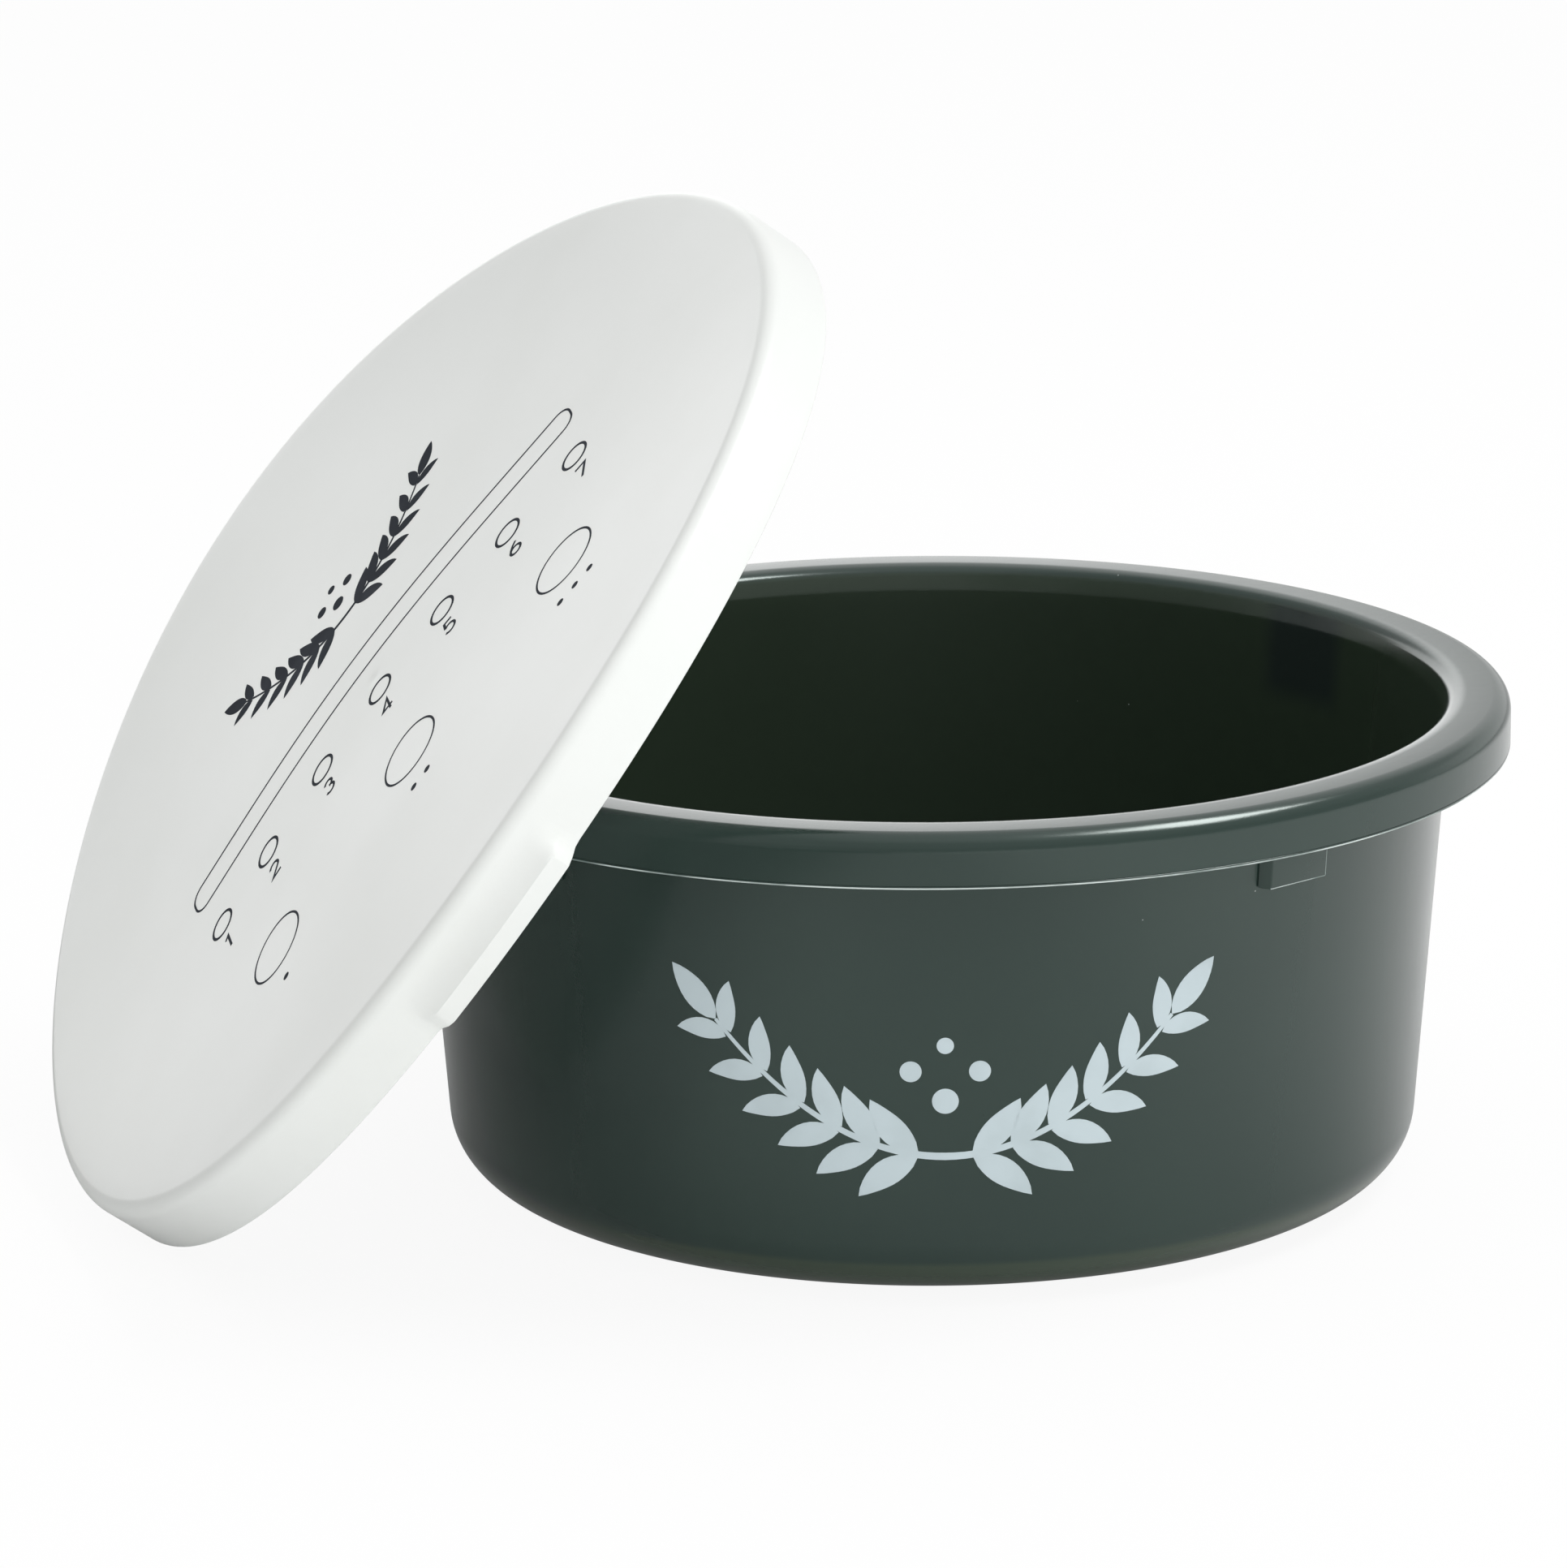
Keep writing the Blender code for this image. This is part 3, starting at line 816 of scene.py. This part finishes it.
def add_branch(shape, place, foot, scale):
    """A plain leafy branch that bends up to both sides, with round berries over its middle."""
    def put(point):
        return foot[0] + point[0] * scale, foot[1] + point[1] * scale

    shares = [i / BRANCH_STEPS for i in range(-BRANCH_STEPS, BRANCH_STEPS + 1)]
    widths = [BRANCH_WIDTH * scale * (1.0 - BRANCH_TAPER * abs(share)) for share in shares]
    add_ribbon(shape, place, [put(branch_point(share)) for share in shares], widths)
    for side in (-1.0, 1.0):
        for start, end, width, droop in leaf_pairs(side):
            add_leaf(shape, place, put(start), put(end), width * scale, droop * scale)
    for across, up, radius in BERRIES:
        add_dot(shape, place, put((across, up)), radius * scale)


def circle_points(middle, radius, count):
    return arc(middle, radius, 0.0, FULL, count)[:-1]


def add_dot(shape, place, middle, radius):
    """A round dot, as a short ribbon as wide as the circle at each point."""
    points, widths = [], []
    for i in range(DOT_STEPS + 1):
        turn = HALF * i / DOT_STEPS
        points.append((middle[0] - radius * math.cos(turn), middle[1]))
        widths.append(max(2.0 * radius * math.sin(turn), INK_TIP))
    add_ribbon(shape, place, points, widths)


def add_number(shape, place, number, middle):
    for stroke in NUMBERS[number]:
        if isinstance(stroke, tuple):
            centre, radius, start, end = stroke
            stroke = arc(centre, radius, math.radians(start), math.radians(end), NUMBER_CUTS)
        low = middle[1] - NUMBER_HEIGHT / 2
        points = [(middle[0] + x * NUMBER_HEIGHT, low + y * NUMBER_HEIGHT) for x, y in stroke]
        add_ribbon(shape, place, points, [NUMBER_LINE] * len(points))


def frame_points():
    """The long rounded frame of the lid's print."""
    points = []
    x_far, y_far = FRAME_HALF[0] - FRAME_CORNER, FRAME_HALF[1] - FRAME_CORNER
    for i, (sx, sy) in enumerate(((1, 1), (-1, 1), (-1, -1), (1, -1))):
        centre = (FRAME_MIDDLE[0] + sx * x_far, FRAME_MIDDLE[1] + sy * y_far)
        points += arc(centre, FRAME_CORNER, QUARTER * i, QUARTER * (i + 1), FRAME_CUTS)
    return smooth_line(points + points[:1], RING_RADIUS)[:-1]


def print_piece(name, shape, body, finish):
    bmesh.ops.recalc_face_normals(shape, faces=shape.faces)
    piece = add_object(name, to_mesh(name, shape))
    piece.data.materials.append(finish)
    shade_round(piece.data)
    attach(piece, body)


def build_bowl_print():
    def on_wall(across, up, lift):
        turn = BOWL_PRINT_AZIMUTH + across / wall_radius(up)
        radius = beside_wall(up, lift)
        return radius * math.cos(turn), radius * math.sin(turn), up

    shape = bmesh.new()
    add_branch(shape, on_wall, (0.0, BOWL_PRINT_FOOT), BOWL_PRINT_SCALE)
    finish = ink("pale_ink", PALE_INK, PALE_INK_THIN, *PALE_INK_FILM)
    print_piece("bowl_print", shape, "bowl", finish)


def add_rings(shape, place):
    """The lid's seven small rings with their numbers, and its three big ones with their dots."""
    for number, across in enumerate(RING_PLACES, 1):
        ring = circle_points((across, RING_ROW), RING_RADIUS, RING_STEPS)
        add_ribbon(shape, place, ring, [RING_LINE] * RING_STEPS, True)
        add_number(shape, place, number, (across, RING_ROW - NUMBER_DROP))
    for count, across in enumerate(BIG_PLACES, 1):
        ring = circle_points((across, BIG_ROW), BIG_RADIUS, BIG_STEPS)
        add_ribbon(shape, place, ring, [BIG_LINE] * BIG_STEPS, True)
        for i in range(count):
            middle = (across + (i - (count - 1) / 2) * DOT_PITCH, BIG_ROW - DOT_DROP)
            add_dot(shape, place, middle, DOT_RADIUS)


def build_lid_print(place):
    right = Vector((math.cos(LID_PRINT_AZIMUTH), math.sin(LID_PRINT_AZIMUTH)))
    up = Vector((-right.y, right.x))

    def on_plate(across, rise, lift):
        point = right * across + up * rise
        return place @ Vector((point.x, point.y, warp_rise(*point) + lift))

    shape = bmesh.new()
    add_branch(shape, on_plate, (0.0, LID_PRINT_FOOT), LID_PRINT_SCALE)
    frame_line = frame_points()
    add_ribbon(shape, on_plate, frame_line, [FRAME_LINE] * len(frame_line), True)
    add_rings(shape, on_plate)
    finish = ink("dark_ink", DARK_INK, DARK_INK_THIN, *DARK_INK_FILM)
    print_piece("lid_print", shape, "lid", finish)


# Camera: its place, and its turns from looking along +Y, found from the photograph
PHOTO_WIDTH = 1931.0
FOCAL_PIXELS = 9500.0
SENSOR_MM = 36.0
CAMERA_PLACE = (0.0, -2.0024, 0.6356)
CAMERA_PAN = -0.0197
CAMERA_TILT = 0.2590
CAMERA_ROLL = -0.0090


def camera_turn():
    """The camera's right, up and backward directions, as a rotation."""
    pan, tilt, roll = CAMERA_PAN, CAMERA_TILT, CAMERA_ROLL
    forward = Vector((math.sin(pan) * math.cos(tilt), math.cos(pan) * math.cos(tilt),
                      -math.sin(tilt)))
    level = Vector((math.cos(pan), -math.sin(pan), 0.0))
    upright = level.cross(forward)
    right = level * math.cos(roll) + upright * math.sin(roll)
    up = upright * math.cos(roll) - level * math.sin(roll)
    return Matrix((right, up, -forward)).transposed().to_4x4()


def build_camera():
    lens = bpy.data.cameras.new("camera")
    lens.sensor_fit = "HORIZONTAL"
    lens.sensor_width = SENSOR_MM
    lens.lens = SENSOR_MM * FOCAL_PIXELS / PHOTO_WIDTH
    camera = add_object("camera", lens)
    camera.matrix_world = Matrix.Translation(CAMERA_PLACE) @ camera_turn()
    bpy.context.scene.camera = camera


# Floor. Shares and glows blend along X from start to end, and the far glow sets in along Y
FLOOR_SIZE = 6.0
FLOOR_GREY = (0.97, 0.97, 0.97, 1.0)
FLOOR_ROUGH = 0.9
FLOOR_GLOW = 0.92             # share of plain white in the floor that the camera sees
FLOOR_GLOSS_DIM = (0.88, 0.38)      # share of its shading hidden from gloss: left, and elsewhere
FLOOR_LEFT_START, FLOOR_LEFT_END = -0.35, -0.08
FLOOR_GLOSS_GLOW = (0.12, 0.42)     # its glow in gloss, near the object: middle, and right
FLOOR_FAR_GLOW = (0.65, 0.06)       # the same far behind, where a real floor sweeps up
FLOOR_SIDE_START, FLOOR_SIDE_END = 0.02, 0.30
FLOOR_FAR_START, FLOOR_FAR_END = 0.25, 1.00

# Room. Light of each part of it; starts and ends are parts of a unit direction along X, Y or Z
PLAIN_WHITE = (1.0, 1.0, 1.0, 1.0)
ROOM_MIDDLE = 1.88            # the backdrop behind the object
ROOM_ASIDE = 0.91             # the backdrop to the right of it
ASIDE_START, ASIDE_END = -0.02, 0.10
ROOM_LEFT = 0.70              # where the backdrop ends at the left
LEFT_START, LEFT_END = -0.84, -0.66
ROOM_FRONT = 0.45
BEHIND_START, BEHIND_END = 0.10, 0.72
ROOM_TOP = 0.92               # the strip overhead
ROOM_SIDE = 0.57              # the rest of the room above the backdrop
STRIP_MIDDLE = 0.12
STRIP_INNER, STRIP_OUTER = 0.24, 0.48
STRIP_FRONT, STRIP_BACK = -0.75, -0.30       # where the strip begins in front
BACKDROP_LOW, BACKDROP_HIGH = 0.30, 0.41     # where the backdrop ends above

# Lamps: place, size, watts
SOFTBOX = ((1.07, -0.06, 1.94), (1.05, 0.80), 18.0)
GLEAM = ((1.07, -0.06, 1.95), (0.95, 0.70), 16.0)     # the softbox's middle, for gloss only
FRONT_BOX = ((0.75, -2.4, 0.13), (2.2, 0.20), 24.0)   # low in front, not for gloss


def floor_glow(finish, gloss):
    """By the place on the floor: its glow in gloss, and how much of its shading gloss misses."""
    aside, back, _ = finish.add("SeparateXYZ", {0: finish.object_place}).outputs
    near, far = (finish.ramp(aside, FLOOR_SIDE_START, FLOOR_SIDE_END, *glow)
                 for glow in (FLOOR_GLOSS_GLOW, FLOOR_FAR_GLOW))
    glow = finish.ramp(back, FLOOR_FAR_START, FLOOR_FAR_END, near, far)
    dim = finish.ramp(aside, FLOOR_LEFT_START, FLOOR_LEFT_END, *FLOOR_GLOSS_DIM)
    return finish.math("MULTIPLY", glow, gloss), finish.math("MULTIPLY", dim, gloss)


def floor_white():
    """Matt white that keeps the shadow, and looks near plain white to the camera."""
    finish = Finish("floor_white", FLOOR_ROUGH)
    finish.shader.inputs["Base Color"].default_value = FLOOR_GREY
    path = finish.add("LightPath", {}).outputs
    seen = finish.math("ADD", path["Is Camera Ray"], path["Is Transmission Ray"])
    seen = finish.math("MULTIPLY", seen, FLOOR_GLOW)
    glow, dim = floor_glow(finish, path["Is Glossy Ray"])
    light = finish.add("Emission", {"Strength": finish.math("ADD", seen, glow)}).outputs[0]
    hidden = finish.math("ADD", seen, dim)
    plain = finish.add("MixShader", {0: hidden, 1: finish.shader.outputs[0]}).outputs[0]
    both = finish.add("AddShader", {0: plain, 1: light}).outputs[0]
    finish.tree.links.new(both, finish.tree.nodes["Material Output"].inputs["Surface"])
    return finish.material


def build_floor():
    shape = bmesh.new()
    bmesh.ops.create_grid(shape, x_segments=1, y_segments=1, size=FLOOR_SIZE)
    floor = add_object("floor", to_mesh("floor", shape))
    floor.data.materials.append(floor_white())


def room_light(tree):
    """Light of the room by direction: a bright backdrop behind, dimmer in front and above."""
    place = tree.add("TexCoord", {}).outputs["Generated"]
    x, y, z = tree.add("SeparateXYZ", {0: place}).outputs
    behind = tree.ramp(x, ASIDE_START, ASIDE_END, ROOM_MIDDLE, ROOM_ASIDE)
    behind = tree.ramp(x, LEFT_START, LEFT_END, ROOM_LEFT, behind)
    low = tree.ramp(y, BEHIND_START, BEHIND_END, ROOM_FRONT, behind)
    from_strip = tree.math("ABSOLUTE", tree.math("SUBTRACT", x, STRIP_MIDDLE))
    strip = tree.ramp(y, STRIP_FRONT, STRIP_BACK, ROOM_SIDE, ROOM_TOP)
    high = tree.ramp(from_strip, STRIP_INNER, STRIP_OUTER, strip, ROOM_SIDE)
    return tree.ramp(z, BACKDROP_LOW, BACKDROP_HIGH, low, high)


def build_world():
    """A pale room that is plain white to the camera."""
    world = bpy.data.worlds.new("studio")
    bpy.context.scene.world = world
    world.use_nodes = True
    world.node_tree.nodes.clear()
    tree = Tree(world.node_tree)
    room, backdrop = (tree.add("Background", {"Color": PLAIN_WHITE, "Strength": strength})
                      for strength in (room_light(tree), 1.0))
    camera_ray = tree.add("LightPath", {}).outputs["Is Camera Ray"]
    mix = tree.add("MixShader", {0: camera_ray, 1: room.outputs[0], 2: backdrop.outputs[0]})
    tree.add("OutputWorld", {"Surface": mix.outputs[0]})


def area_light(name, place, size, power, gloss, spread=True):
    """A lamp aimed at the bowl's top; it may leave out gloss, or light nothing but gloss."""
    data = bpy.data.lights.new(name, "AREA")
    data.shape = "RECTANGLE"
    data.size, data.size_y = size
    data.energy = power
    lamp = add_object(name, data)
    aim = (Vector((0.0, 0.0, BOWL_HEIGHT)) - Vector(place)).to_track_quat("-Z", "Y")
    lamp.matrix_world = Matrix.Translation(place) @ aim.to_matrix().to_4x4()
    lamp.visible_camera = False
    lamp.visible_glossy = gloss
    lamp.visible_diffuse = spread


def main():
    bpy.context.scene.view_settings.view_transform = "Standard"
    build_camera()
    build_floor()
    build_world()
    area_light("softbox", *SOFTBOX, gloss=True)
    area_light("gleam", *GLEAM, gloss=True, spread=False)
    area_light("front_box", *FRONT_BOX, gloss=False)

    place = lid_place()
    build_bowl()
    build_lid(place)
    build_bowl_print()
    build_lid_print(place)


main()
